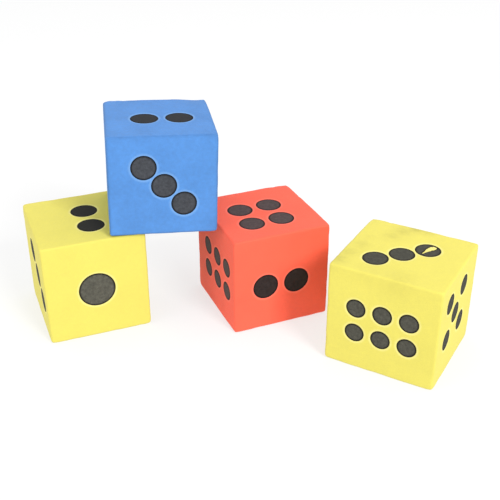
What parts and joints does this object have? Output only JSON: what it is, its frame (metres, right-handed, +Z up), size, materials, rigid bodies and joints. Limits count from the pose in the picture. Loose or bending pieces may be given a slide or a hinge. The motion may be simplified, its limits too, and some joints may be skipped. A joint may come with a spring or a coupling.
{
  "type": "giant foam yard dice set",
  "caption": "Set of large soft foam cube dice with pressed black pips, standing on the ground with a die stacked across its neighbours, for lawn and party games.",
  "frame": {"origin": "on the ground, under the middle of the set's bounding box", "axes": "+Z up, +Y away from the player, +X to the right along the row of dice"},
  "size_m": [0.3882, 0.1958, 0.1795],
  "materials": {
    "yellow_foam": "matte closed-cell foam",
    "blue_foam": "matte closed-cell foam",
    "red_foam": "matte closed-cell foam",
    "black_film": "matte heat-pressed film"
  },
  "bodies": {
    "left_yellow_die": {"left_yellow_foam_block": "yellow_foam", "left_yellow_pip_one": "black_film", "left_yellow_pips_two": "black_film", "left_yellow_pips_three": "black_film", "left_yellow_pips_four": "black_film", "left_yellow_pips_five": "black_film", "left_yellow_pips_six": "black_film"},
    "red_die": {"red_foam_block": "red_foam", "red_pip_one": "black_film", "red_pips_two": "black_film", "red_pips_three": "black_film", "red_pips_four": "black_film", "red_pips_five": "black_film", "red_pips_six": "black_film"},
    "right_yellow_die": {"right_yellow_foam_block": "yellow_foam", "right_yellow_pip_one": "black_film", "right_yellow_pips_two": "black_film", "right_yellow_pips_three": "black_film", "right_yellow_pips_four": "black_film", "right_yellow_pips_five": "black_film", "right_yellow_pips_six": "black_film"},
    "blue_die": {"blue_foam_block": "blue_foam", "blue_pip_one": "black_film", "blue_pips_two": "black_film", "blue_pips_three": "black_film", "blue_pips_four": "black_film", "blue_pips_five": "black_film", "blue_pips_six": "black_film"}
  },
  "joints": [
    {"name": "blue_lift", "type": "slide", "parent": "left_yellow_die", "child": "blue_die", "axis": [0, 0, 1], "range_m": [0, 0.12]},
    {"name": "red_slide_out", "type": "slide", "parent": "left_yellow_die", "child": "red_die", "axis": [0.9219, 0.3875, 0], "range_m": [0, 0.07]},
    {"name": "right_yellow_roll", "type": "hinge", "parent": "left_yellow_die", "child": "right_yellow_die", "pos_m": [0.17135, -0.05869, 0.0015], "axis": [0.4909, 0.8712, 0], "range_deg": [0, 90]}
  ]
}
